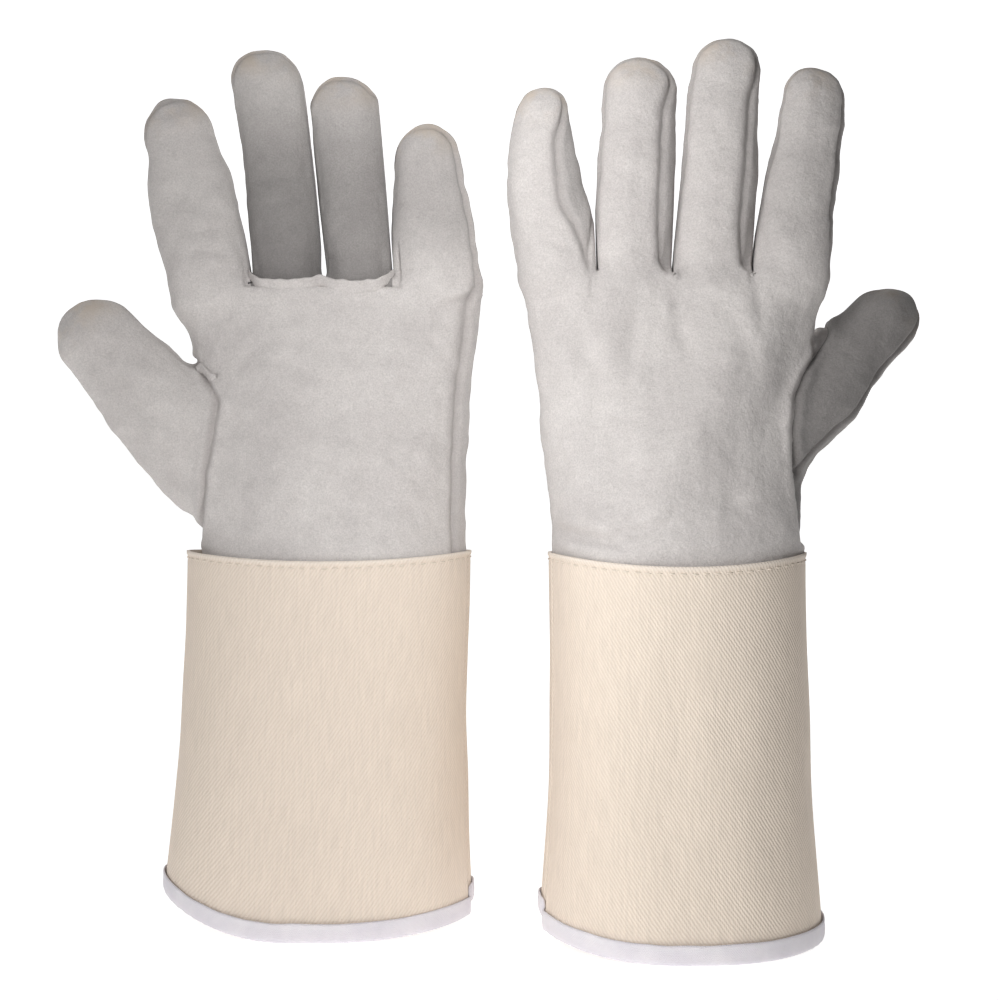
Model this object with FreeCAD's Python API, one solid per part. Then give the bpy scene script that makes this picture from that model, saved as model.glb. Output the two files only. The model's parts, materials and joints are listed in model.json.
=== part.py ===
"""A pair of long beekeeping gauntlets: suede hands sewn to canvas cuffs, standing on their hems.

Millimetres. +Z runs up the gloves to the fingertips, +X from glove A to glove B.
The origin is on the floor, in the middle of the pair's box.

Both gloves are built in one glove frame (palm facing -Y, thumb towards -X, little finger
towards +X) and then placed.  Glove A faces its palm to -Y and glove B its back.
Each finger is cut at its two fold lines, the thumb at two and the hand at the wrist, so that
every stretch of the glove that folds is a body of its own.  A fold's hinge line lies just
outside the palm-side face, so the two stretches only open away from each other.
"""
import FreeCAD, Part
import math
import os
from collections import namedtuple

from FreeCAD import Placement, Rotation, Vector

# Driving dimensions ---------------------------------------------------------------------

LEATHER = 1.5            # split-leather wall
CANVAS = 1.1             # twill cuff wall
TAPE = 0.8               # hem binding, each layer
FOLD_GAP = 0.6           # open gap between two stretches at a fold line
HINGE_PROUD = 0.3        # hinge line stands this far outside the palm-side face

WRIST_Z = 166.0          # seam between cuff and hand
KNUCKLE_Z = 287.0        # fold line at the base of the fingers
KNUCKLE_WIDTH = 134.0
KNUCKLE_DEPTH = 27.0
PALM_WIDTH = 114.0       # narrowest part of the hand, beside the thumb
PALM_DEPTH = 44.0
PALM_Z = 232.0

FINGER_DEPTH = 24.5      # front to back at the base of a finger
TIP_DEPTH = 20.0         # front to back where the fingertip starts to round off
TIP_ROUND = 11.0         # length of the rounded fingertip
SEAM_FROM_BACK = 5.0     # the finger's back seam lies this far in from its back face

THUMB_ROOT_X = -56.5     # plane of the seam that joins the thumb to the palm
THUMB_ROOT_Z = 213.0
THUMB_ROOT_HEIGHT = 64.0
THUMB_ROOT_DEPTH = 31.0
THUMB_WIDTH = 38.0       # at the middle joint
THUMB_DEPTH = 25.0
THUMB_JOINT_UP = 30.0    # middle joint's height above the root's middle
THUMB_TIP_LENGTH = 42.0
THUMB_TAPER = 0.86       # width where the end starts to round off, as a share of the joint's

HEM_BAND = 7.5           # height of the tape round the hem
STITCH_LENGTH = 3.4
STITCH_PITCH = 5.2
STITCH_WIDTH = 0.8
STITCH_DROP = 7.0        # topstitching below the cuff's top edge

OVAL_POINTS = 24

# A cross-section: its middle, its two sizes and the two directions they are measured along.
Section = namedtuple("Section", "centre width depth across deep",
                     defaults=(Vector(1, 0, 0), Vector(0, 1, 0)))

Finger = namedtuple("Finger", "x length width tip_width split")
FINGERS = {
    "index": Finger(x=-50.5, length=81.0, width=33.0, tip_width=26.0, split=0.52),
    "middle": Finger(x=-16.5, length=99.0, width=32.0, tip_width=27.5, split=0.50),
    "ring": Finger(x=17.0, length=90.0, width=32.0, tip_width=27.0, split=0.50),
    "little": Finger(x=50.5, length=68.0, width=33.0, tip_width=23.0, split=0.52),
}

Glove = namedtuple("Glove", "x y turn hem top fan reach hem_rise thumb_out thumb_lean thumb_swing")
GLOVES = {
    # hem and top: width and depth of the cuff.  fan: each finger's sideways lean in degrees.
    # reach: how much longer or shorter each finger stands.  hem_rise: thumb side, little side.
    # thumb_out: middle joint's distance out from the root.  thumb_lean: degrees from upright.
    # thumb_swing: degrees that the thumb is folded towards the palm at rest.
    "glove_a": Glove(x=-72.0, y=20.0, turn=0.0, hem=(139.0, 92.0), top=(127.0, 67.0),
                     fan={"index": -12.0, "middle": -7.0, "ring": -4.5, "little": -2.0},
                     reach={"index": -1.0, "middle": -1.0, "ring": -5.0, "little": -7.0},
                     hem_rise=(16.0, 5.0), thumb_out=31.0, thumb_lean=40.0, thumb_swing=0.0),
    "glove_b": Glove(x=81.0, y=-9.0, turn=180.0, hem=(122.0, 110.0), top=(111.0, 86.0),
                     fan={"index": -9.0, "middle": -4.5, "ring": -1.5, "little": 8.0},
                     reach={"index": 0.0, "middle": 1.0, "ring": 0.0, "little": 1.0},
                     hem_rise=(2.0, 6.0), thumb_out=24.0, thumb_lean=33.0, thumb_swing=18.0),
}


# Basic shapes ---------------------------------------------------------------------------

def oval(section, grow=0.0, squareness=2.0):
    """A section's outline: a closed superellipse, grown by `grow` all round."""
    half_width = section.width / 2 + grow
    half_depth = section.depth / 2 + grow
    points = []
    for step in range(OVAL_POINTS):
        angle = 2 * math.pi * step / OVAL_POINTS
        side = math.copysign(abs(math.cos(angle)) ** (2 / squareness), math.cos(angle))
        front = math.copysign(abs(math.sin(angle)) ** (2 / squareness), math.sin(angle))
        points.append(section.centre + section.across * (side * half_width)
                      + section.deep * (front * half_depth))
    curve = Part.BSplineCurve()
    curve.interpolate(Points=points, PeriodicFlag=True)
    return Part.Wire([curve.toShape()])


def loft(sections, grow=0.0, squareness=2.0):
    """A solid through sections, grown by `grow` all round."""
    return Part.makeLoft([oval(section, grow, squareness) for section in sections], True, True)


def carried_on(first, second, length=6.0):
    """The first section, moved on past itself, away from the second."""
    direction = (first.centre - second.centre).normalize()
    return first._replace(centre=first.centre + direction * length)


def stretched(sections):
    """The same sections with both ends carried on in line, for cutting tools."""
    start = carried_on(sections[0], sections[1])
    end = carried_on(sections[-1], sections[-2])
    return [start] + sections + [end]


def block(x_range, y_range, z_range):
    """A box from its three ranges."""
    corner = Vector(x_range[0], y_range[0], z_range[0])
    return Part.makeBox(x_range[1] - x_range[0], y_range[1] - y_range[0],
                        z_range[1] - z_range[0], corner)


def prism(outline, y_range=(-150.0, 150.0)):
    """An outline in X and Z, carried along Y."""
    points = [Vector(x, y_range[0], z) for x, z in outline]
    face = Part.Face(Part.makePolygon(points + points[:1]))
    return face.extrude(Vector(0, y_range[1] - y_range[0], 0))


def one_solid(shape):
    """The largest solid of a cut shape; slivers left by the cut are dropped."""
    return max(shape.Solids, key=lambda solid: solid.Volume)


# Cuff -----------------------------------------------------------------------------------

def cuff_sections(glove, top_z=WRIST_Z - FOLD_GAP / 2):
    """The cuff's outer face, from the floor to its top edge."""
    return [Section(Vector(0, 0, 0), *glove.hem), Section(Vector(0, 0, top_z), *glove.top)]


def hem_cutter(glove, height=0.0):
    """Everything below the hem, which lifts from the floor towards each side."""
    flat = 12.0
    reach = glove.hem[0] / 2 + 12.0
    outline = [(-reach, -30.0), (reach, -30.0)]
    for side, rise in ((1, glove.hem_rise[1]), (-1, glove.hem_rise[0])):
        span = glove.hem[0] / 2 - flat
        steps = range(9, -1, -1) if side > 0 else range(0, 10)
        for step in steps:
            run = (reach - flat) * step / 9
            outline.append((side * (flat + run), height + rise * (run / span) ** 2))
    return prism(outline)


def make_cuff(glove):
    """Canvas tube, its hem tape, its side seam's allowance and the topstitching."""
    outer = cuff_sections(glove)
    long_outer = stretched(outer)
    tube = loft(outer).cut(loft(long_outer, grow=-CANVAS))
    panel = one_solid(tube.cut(hem_cutter(glove, height=TAPE)))

    band = loft(outer, grow=TAPE).cut(loft(long_outer, grow=-CANVAS - TAPE))
    band = band.cut(hem_cutter(glove)).common(hem_cutter(glove, height=HEM_BAND))
    binding = one_solid(band.cut(panel))

    # the side seam is pressed open inside the little-finger side of the cuff
    allowance = loft(outer, grow=-CANVAS).cut(loft(long_outer, grow=-2 * CANVAS))
    half_width = 9.0
    seam_foot = HEM_BAND + glove.hem_rise[1] + 4.0
    window = block((0, 100), (-half_width, half_width), (seam_foot, WRIST_Z - 2.0))
    seam = one_solid(allowance.common(window))
    return {"cuff_panel": panel, "cuff_hem_binding": binding, "cuff_side_seam": seam,
            "cuff_top_stitching": make_topstitching(glove)}


def make_topstitching(glove):
    """A ring of separate stitches that lie on the canvas below the cuff's top edge."""
    z = WRIST_Z - STITCH_DROP
    share = z / (WRIST_Z - FOLD_GAP / 2)
    half_width = (glove.hem[0] + (glove.top[0] - glove.hem[0]) * share) / 2
    half_depth = (glove.hem[1] + (glove.top[1] - glove.hem[1]) * share) / 2
    lift = STITCH_WIDTH / 2 + 0.35
    stitches = []
    angle = 0.0
    while angle < 2 * math.pi - 0.05:
        out_x = (half_width + lift) * math.cos(angle)
        out_y = (half_depth + lift) * math.sin(angle)
        along = Vector(-half_width * math.sin(angle), half_depth * math.cos(angle), 0)
        speed = along.Length
        along.normalize()
        start = Vector(out_x, out_y, z) - along * (STITCH_LENGTH / 2)
        stitches.append(Part.makeCylinder(STITCH_WIDTH / 2, STITCH_LENGTH, start, along))
        angle += STITCH_PITCH / speed
    return Part.makeCompound(stitches)


# Hand -----------------------------------------------------------------------------------

def hand_sections(glove):
    """The outer face of the hand, from the wrist seam up past the knuckles."""
    tuck = 3.0
    above = 16.0
    return [Section(Vector(0, 0, WRIST_Z + FOLD_GAP / 2), glove.top[0] - tuck, glove.top[1] - tuck),
            Section(Vector(2, 0, PALM_Z - 30.0), PALM_WIDTH, PALM_DEPTH + 8.0),
            Section(Vector(1, 0, PALM_Z), PALM_WIDTH, PALM_DEPTH),
            Section(Vector(0, 0, KNUCKLE_Z - 20.0), KNUCKLE_WIDTH - 6.0, KNUCKLE_DEPTH + 5.0),
            Section(Vector(0, 0, KNUCKLE_Z + above), KNUCKLE_WIDTH, KNUCKLE_DEPTH)]


def finger_placement(glove, name):
    """From a finger's own frame (fold line at z = 0) to the glove frame."""
    lean = Rotation(Vector(0, 1, 0), glove.fan[name])
    return Placement(Vector(FINGERS[name].x, 0, KNUCKLE_Z), lean)


def above_knuckles(glove, drop=0.0):
    """Everything above the four fold lines, lowered by `drop`."""
    solids = []
    reach = 60.0
    names = list(FINGERS)
    for place, name in enumerate(names):
        finger = FINGERS[name]
        left = -reach if place == 0 else (FINGERS[names[place - 1]].x - finger.x) / 2
        right = reach if place == 3 else (FINGERS[names[place + 1]].x - finger.x) / 2
        slope = -math.tan(math.radians(glove.fan[name]))
        outline = [(finger.x + left, KNUCKLE_Z + slope * left - drop),
                   (finger.x + right, KNUCKLE_Z + slope * right - drop),
                   (finger.x + right, KNUCKLE_Z + 60.0),
                   (finger.x + left, KNUCKLE_Z + 60.0)]
        solids.append(prism(outline))
    return solids[0].fuse(solids[1:])


def on_palm(glove, outline, thickness, gap=0.0):
    """A flat piece that lies on the outside of the palm, inside an outline in X and Z."""
    sections = hand_sections(glove)
    skin = loft(sections, grow=thickness, squareness=3.0).cut(loft(sections, grow=gap, squareness=3.0))
    return one_solid(skin.common(prism(outline, y_range=(-150.0, 0.0))))


def make_hand(glove):
    """Palm and back panels, the welt across two finger bases and the gusset at the thumb's web."""
    outer = hand_sections(glove)
    tube = loft(outer, squareness=3.0).cut(loft(stretched(outer), grow=-LEATHER, squareness=3.0))
    top = above_knuckles(glove, drop=FOLD_GAP / 2)
    root_low = THUMB_ROOT_Z - THUMB_ROOT_HEIGHT / 2 + 6.0
    root_high = THUMB_ROOT_Z + THUMB_ROOT_HEIGHT / 2 - 6.0
    root_half_depth = THUMB_ROOT_DEPTH / 2 - 3.0
    thumb_hole = block((-150, -36), (-root_half_depth, root_half_depth), (root_low, root_high))
    # the thumb bulges past the height of its own opening, so the hand is cut clear of it
    thumb_side = block((-150, THUMB_ROOT_X + FOLD_GAP), (-60, 60),
                       (THUMB_ROOT_Z - THUMB_ROOT_HEIGHT / 2 - 10.0,
                        THUMB_ROOT_Z + THUMB_ROOT_HEIGHT / 2 + 14.0))
    tube = tube.cut(top).cut(thumb_hole).cut(thumb_side)
    front_half = block((-150, 150), (-150, 0), (0, 400))
    welt_height = 3.5
    left = FINGERS["middle"].x - 16.0
    right = FINGERS["ring"].x + 16.0
    strip = [(left, KNUCKLE_Z - 20.0), (right, KNUCKLE_Z - 20.0),
             (right, KNUCKLE_Z + 20.0), (left, KNUCKLE_Z + 20.0)]
    welt = on_palm(glove, strip, thickness=2.2).cut(top)
    welt = one_solid(welt.common(above_knuckles(glove, drop=FOLD_GAP / 2 + welt_height)))
    web_z = THUMB_ROOT_Z + THUMB_ROOT_HEIGHT / 2 - 4.0
    tab = [(-53.0, web_z - 8.0), (-44.0, web_z - 6.0), (-45.0, web_z + 3.0), (-53.0, web_z + 4.0)]
    return {"palm_panel": one_solid(tube.common(front_half)),
            "back_panel": one_solid(tube.cut(front_half)),
            "finger_base_welt": welt,
            "thumb_web_gusset": on_palm(glove, tab, thickness=2.0)}


# Fingers --------------------------------------------------------------------------------

def finger_length(glove, name):
    return FINGERS[name].length + glove.reach[name]


def finger_depth(glove, name, z):
    """Front-to-back size of a finger at a height above its base fold line."""
    straight = finger_length(glove, name) - TIP_ROUND
    return FINGER_DEPTH + (TIP_DEPTH - FINGER_DEPTH) * z / straight


def finger_sections(glove, name):
    """A finger's outer face, up its own Z from its base fold line to its rounded end."""
    finger = FINGERS[name]
    length = finger_length(glove, name)
    straight = length - TIP_ROUND
    root = Section(Vector(0, 0, 0), finger.width, FINGER_DEPTH)
    shoulder = Section(Vector(0, 0, straight), finger.tip_width, TIP_DEPTH)
    return [root, shoulder] + rounded_end(shoulder, Vector(0, 0, 1), TIP_ROUND)


def rounded_end(shoulder, direction, length):
    """The sections of a quarter-round end that follows the shoulder."""
    sections = []
    for turn in (35.0, 60.0, 80.0):
        shrink = math.cos(math.radians(turn))
        place = shoulder.centre + direction * (length * math.sin(math.radians(turn)))
        sections.append(shoulder._replace(centre=place, width=shoulder.width * shrink,
                                          depth=shoulder.depth * shrink))
    return sections


def closed_end_tube(outer, squareness):
    """A tube closed at its last section, with a leather wall."""
    least = 1.2
    inner = [carried_on(outer[0], outer[1])] + outer[:-1] + [carried_on(outer[-1], outer[-2], -LEATHER)]
    hollow = []
    for section in inner:
        hollow.append(section._replace(width=max(section.width - 2 * LEATHER, least),
                                       depth=max(section.depth - 2 * LEATHER, least)))
    return loft(outer, squareness=squareness).cut(loft(hollow, squareness=squareness))


def make_finger(glove, name):
    """Base and tip stretch of a finger, each as a front trough and a back strip."""
    length = finger_length(glove, name)
    fold = length * FINGERS[name].split
    tube = closed_end_tube(finger_sections(glove, name), squareness=2.6)
    seam_y = finger_depth(glove, name, fold) / 2 - SEAM_FROM_BACK
    stretches = {"base": (FOLD_GAP / 2, fold - FOLD_GAP / 2), "tip": (fold + FOLD_GAP / 2, length + 5.0)}
    pieces = {}
    for part, z_range in stretches.items():
        front = block((-40, 40), (-40, seam_y), z_range)
        back = block((-40, 40), (seam_y, 40), z_range)
        pieces[f"{name}_{part}_front"] = one_solid(tube.common(front))
        pieces[f"{name}_{part}_back"] = one_solid(tube.common(back))
    place = finger_placement(glove, name)
    for piece in pieces.values():
        piece.Placement = place.multiply(piece.Placement)
    return pieces


# Thumb ----------------------------------------------------------------------------------

def thumb_hinge():
    """A point on the upright hinge line at the thumb's root, outside its palm-side face."""
    return Vector(THUMB_ROOT_X, -THUMB_ROOT_DEPTH / 2 - HINGE_PROUD, THUMB_ROOT_Z)


def thumb_swing(glove, share=1.0):
    """The thumb's rest pose: turned about its root hinge towards the palm."""
    return Placement(Vector(), Rotation(Vector(0, 0, 1), glove.thumb_swing * share), thumb_hinge())


def thumb_frame(glove):
    """Middle joint's place, thumb direction, width direction and depth direction."""
    lean = math.radians(glove.thumb_lean)
    swing = thumb_swing(glove)
    joint = Vector(THUMB_ROOT_X - glove.thumb_out, 0, THUMB_ROOT_Z + THUMB_JOINT_UP)
    direction = Vector(-math.sin(lean), 0, math.cos(lean))
    across = Vector(math.cos(lean), 0, math.sin(lean))
    turn = swing.Rotation
    return (swing.multVec(joint), turn.multVec(direction), turn.multVec(across),
            turn.multVec(Vector(0, 1, 0)))


def thumb_sections(glove):
    """The thumb's outer face: from an upright opening on the palm's side to its rounded end."""
    joint, direction, across, deep = thumb_frame(glove)
    root = Vector(THUMB_ROOT_X, 0, THUMB_ROOT_Z)
    half_lean = math.radians((90.0 + glove.thumb_lean) / 2)
    half_turn = thumb_swing(glove, share=0.5).Rotation
    half_across = half_turn.multVec(Vector(math.cos(half_lean), 0, math.sin(half_lean)))
    half_width = (THUMB_ROOT_HEIGHT + THUMB_WIDTH) / 2 - 4.0
    end_round = TIP_ROUND + 3.0
    shoulder = Section(joint + direction * (THUMB_TIP_LENGTH - end_round),
                       THUMB_WIDTH * THUMB_TAPER, THUMB_DEPTH * THUMB_TAPER, across, deep)
    return [Section(root, THUMB_ROOT_HEIGHT, THUMB_ROOT_DEPTH, Vector(0, 0, 1)),
            Section((root + joint) * 0.5, half_width, THUMB_ROOT_DEPTH - 3.0,
                    half_across, half_turn.multVec(Vector(0, 1, 0))),
            Section(joint, THUMB_WIDTH, THUMB_DEPTH, across, deep),
            shoulder] + rounded_end(shoulder, direction, end_round)


def half_zone(sections, side):
    """The space on one side of the thumb's edge seams, which run through each section's middle."""
    spare = 3.0
    outlines = []
    for section in stretched(sections):
        edge = section.across * (section.width / 2 + spare)
        away = section.deep * (side * (section.depth / 2 + spare))
        corners = [section.centre - edge, section.centre + edge,
                   section.centre + edge + away, section.centre - edge + away]
        outlines.append(Part.makePolygon(corners + corners[:1]))
    return Part.makeLoft(outlines, True, True)


def make_thumb(glove):
    """Base and tip stretch of the thumb, each in a palm-side and a back half."""
    joint, direction, across, deep = thumb_frame(glove)
    sections = thumb_sections(glove)
    tube = closed_end_tube(sections, squareness=2.3)
    tube = tube.common(block((-220, THUMB_ROOT_X), (-90, 90), (100, 400)))
    reach = 70.0
    at_joint = Placement(joint, Rotation(across, deep, direction, "ZXY"))
    stretches = {"base": -reach - FOLD_GAP / 2, "tip": FOLD_GAP / 2}
    pieces = {}
    for part, start in stretches.items():
        cube = Part.makeBox(2 * reach, 2 * reach, reach, Vector(-reach, -reach, start))
        cube.Placement = at_joint
        for half, side in (("front", -1), ("back", 1)):
            piece = tube.common(cube).common(half_zone(sections, side))
            pieces[f"thumb_{part}_{half}"] = one_solid(piece)
    return pieces


# Whole pair -----------------------------------------------------------------------------

def glove_placement(glove):
    return Placement(Vector(glove.x, glove.y, 0), Rotation(Vector(0, 0, 1), glove.turn))


def make_glove(glove):
    """All the nodes of one glove, in the pair's frame."""
    pieces = make_cuff(glove)
    pieces.update(make_hand(glove))
    for name in FINGERS:
        pieces.update(make_finger(glove, name))
    pieces.update(make_thumb(glove))
    place = glove_placement(glove)
    for piece in pieces.values():
        piece.Placement = place.multiply(piece.Placement)
    return pieces


def make_pair():
    """Every node by name, moved so that the origin is in the middle of the pair's footprint."""
    nodes = {}
    for glove_name, glove in GLOVES.items():
        for piece_name, piece in make_glove(glove).items():
            nodes[f"{glove_name}_{piece_name}"] = piece
    box = Part.makeCompound(list(nodes.values())).optimalBoundingBox()
    shift = Vector(-(box.XMin + box.XMax) / 2, -(box.YMin + box.YMax) / 2, -box.ZMin)
    for piece in nodes.values():
        piece.Placement = Placement(shift, Rotation()).multiply(piece.Placement)
    return nodes, shift


def main():
    os.makedirs("parts", exist_ok=True)
    nodes, shift = make_pair()
    for name, piece in nodes.items():
        piece.exportStep(f"parts/{name}.step")
        print(f"{name}: {len(piece.Solids)} solid(s), {piece.Volume:.0f} mm3, valid {piece.isValid()}")


if __name__ == "__main__":
    main()
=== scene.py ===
"""The looks of a pair of gauntlet work gloves: suede hands sewn to canvas cuffs.

Shapes are worked out in millimetres in each glove's own frame: the palm faces -Y, the thumb
is on the -X side and the fingers point up. They are placed in the shared frame in metres.
"""

import json
import math

import bpy
import numpy as np
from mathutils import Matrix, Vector


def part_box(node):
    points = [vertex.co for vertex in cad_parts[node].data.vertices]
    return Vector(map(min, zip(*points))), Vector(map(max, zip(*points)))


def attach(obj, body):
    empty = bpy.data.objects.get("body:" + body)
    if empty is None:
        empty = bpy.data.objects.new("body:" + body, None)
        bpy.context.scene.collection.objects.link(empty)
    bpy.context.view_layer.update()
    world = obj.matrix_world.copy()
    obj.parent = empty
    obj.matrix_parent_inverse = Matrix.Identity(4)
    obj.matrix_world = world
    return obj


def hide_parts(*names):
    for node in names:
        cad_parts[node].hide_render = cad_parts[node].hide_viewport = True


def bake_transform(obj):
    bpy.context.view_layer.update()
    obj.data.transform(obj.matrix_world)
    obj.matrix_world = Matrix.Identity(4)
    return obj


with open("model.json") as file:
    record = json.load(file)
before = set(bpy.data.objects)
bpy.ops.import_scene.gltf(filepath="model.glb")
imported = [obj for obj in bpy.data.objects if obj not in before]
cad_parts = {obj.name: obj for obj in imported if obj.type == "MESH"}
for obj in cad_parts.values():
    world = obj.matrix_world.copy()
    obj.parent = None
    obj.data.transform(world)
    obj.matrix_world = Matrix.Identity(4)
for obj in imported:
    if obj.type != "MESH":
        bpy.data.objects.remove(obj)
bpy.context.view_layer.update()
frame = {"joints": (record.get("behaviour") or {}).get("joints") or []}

MM = 0.001
FINGERS = ("index", "middle", "ring", "little")
# Lengths are in millimetres unless said otherwise; heights are measured from the floor.
LEATHER = 1.3
CANVAS = 1.1
GRID = 1.0
FLOOR_OF_LEATHER = 150.0
FINGER_CUT = 283.5
CROTCH_GAP = 0.45
SPREAD = 1.7
CUFF_TOP = 166.0
WRIST_BEND = (157.0, 170.0)
THUMB_SEAM_LOW, THUMB_SEAM_HIGH = 171.0, 251.0
THUMB_BEND = (-56.0, -72.0)
THUMB_LEVEL = 220
# The share of the way to a finger's middle fold at which its base and tip pieces part.
FOLD_SPLIT = 0.6
THUMB_SIDE, THUMB_TOP = -78.0, 295.0
FAR_OUT = 60.0
FINGER_BLEND, PALM_BLEND, THUMB_BLEND = 0.8, 6.0, 9.0
CROTCH_LEVEL = 290.0
HAND_LOW, HAND_SIZE = (-134.0, -48.0, FLOOR_OF_LEATHER - 4.0), (220, 96, 250)
UNEVENNESS = ((0.7, 34.0), (0.38, 13.0), (0.15, 5.5))
PALM_TOP = 286.0
PALM_SOFT = 9.0
HEM_STEP = 5.0
FAR_BELOW = 50.0
# The pieces whose painted shade is at full strength, not faded in above the finger cut.
FULLY_SHADED = ("middle_base_front", "ring_base_front")
TAU = 2 * math.pi


# Numbers --------------------------------------------------------------------------------

def ease(t):
    t = np.clip(t, 0, 1)
    return t * t * (3 - 2 * t)


def ramp(value, start, end):
    """0 before start, 1 after end, and smooth between them."""
    return ease((value - start) / (end - start))


def smooth_min(a, b, reach):
    share = np.clip(0.5 + 0.5 * (b - a) / reach, 0, 1)
    return b + (a - b) * share - reach * share * (1 - share)


def smooth_max(a, b, reach):
    return -smooth_min(-a, -b, reach)


def hill(distance, width):
    return np.exp(-((distance / width) ** 2))


class Line:
    """A smooth curve through (position, value) stops, level beyond both ends."""

    def __init__(self, *stops, soft=5.0):
        at, value = np.array(sorted(stops), float).T
        step = 0.5
        spare = 3 * soft
        self.at = np.arange(at[0] - spare, at[-1] + spare + step, step)
        kernel = np.hanning(2 * int(soft / step) + 3)
        pad = len(kernel) // 2
        rough = np.pad(np.interp(self.at, at, value), pad, mode="edge")
        self.value = np.convolve(rough, kernel / kernel.sum(), mode="valid")

    def __call__(self, position):
        return np.interp(position, self.at, self.value)


def waves(points, seed, length, count=20):
    """Soft random unevenness about `length` long, roughly within -1 to 1."""
    rng = np.random.default_rng(seed)
    turn = rng.normal(size=(count, 3))
    turn *= (TAU / (length * rng.uniform(0.7, 1.6, count)) / np.linalg.norm(turn, axis=1))[:, None]
    start = rng.uniform(0, TAU, count)
    total = np.zeros(len(points))
    for direction, phase in zip(turn, start):
        total += np.sin(points @ direction + phase)
    return total * math.sqrt(0.5 / count)


# Solid shapes ---------------------------------------------------------------------------

def oval_field(across, deep, width, depth, power):
    """1 on the oval's outline, and how fast that changes per millimetre."""
    u = np.abs(across) / width
    v = np.abs(deep) / depth
    value = (u ** power + v ** power) ** (1 / power) + 1e-6
    slope = np.hypot((u / value) ** (power - 1) / width, (v / value) ** (power - 1) / depth)
    return value, slope


class Digit:
    """A finger or thumb: an oval tube with a rounded end, along a nearly straight line."""

    def __init__(self, root, tip, length, width, depth, cap, tail=14.0,
                 sway=((0, 0),), bow=((0, 0),), power=2.3, twist=0.0, low=8.0):
        self.root = np.array(root, float)
        self.axis = np.array(tip, float) - self.root
        self.axis /= np.linalg.norm(self.axis)
        self.deep = np.array((0.0, 1.0, 0.0)) - self.axis[1] * self.axis
        self.deep /= np.linalg.norm(self.deep)
        side = np.cross(self.deep, self.axis)
        turn = math.radians(twist)
        self.side = math.cos(turn) * side + math.sin(turn) * self.deep
        self.deep = math.cos(turn) * self.deep - math.sin(turn) * side
        self.length, self.cap, self.tail, self.power = length, cap, tail, power
        self.low = low
        self.width, self.depth = Line(*width), Line(*depth)
        self.sway, self.bow = Line(*sway, soft=9.0), Line(*bow, soft=9.0)

    def local(self, points):
        """Distance up the digit, across it and towards its back."""
        moved = points - self.root
        up = moved @ self.axis
        return up, moved @ self.side - self.sway(up), moved @ self.deep - self.bow(up)

    def distance(self, points):
        up, across, deep = self.local(points)
        value, slope = oval_field(across, deep, self.width(up), self.depth(up), self.power)
        over = np.maximum(up - (self.length - self.cap), 0) / self.cap
        under = np.maximum(-up - self.low, 0) / self.tail
        end = over + under
        end_slope = end / np.where(over > 0, self.cap, self.tail)
        whole = np.hypot(value, end)
        slope = np.hypot(value * slope, end_slope) / whole
        return (whole - 1) / np.maximum(slope, 0.02)

    def place(self, up, across=0.0, deep=0.0):
        return self.root + self.axis * up + self.side * across + self.deep * deep


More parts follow.
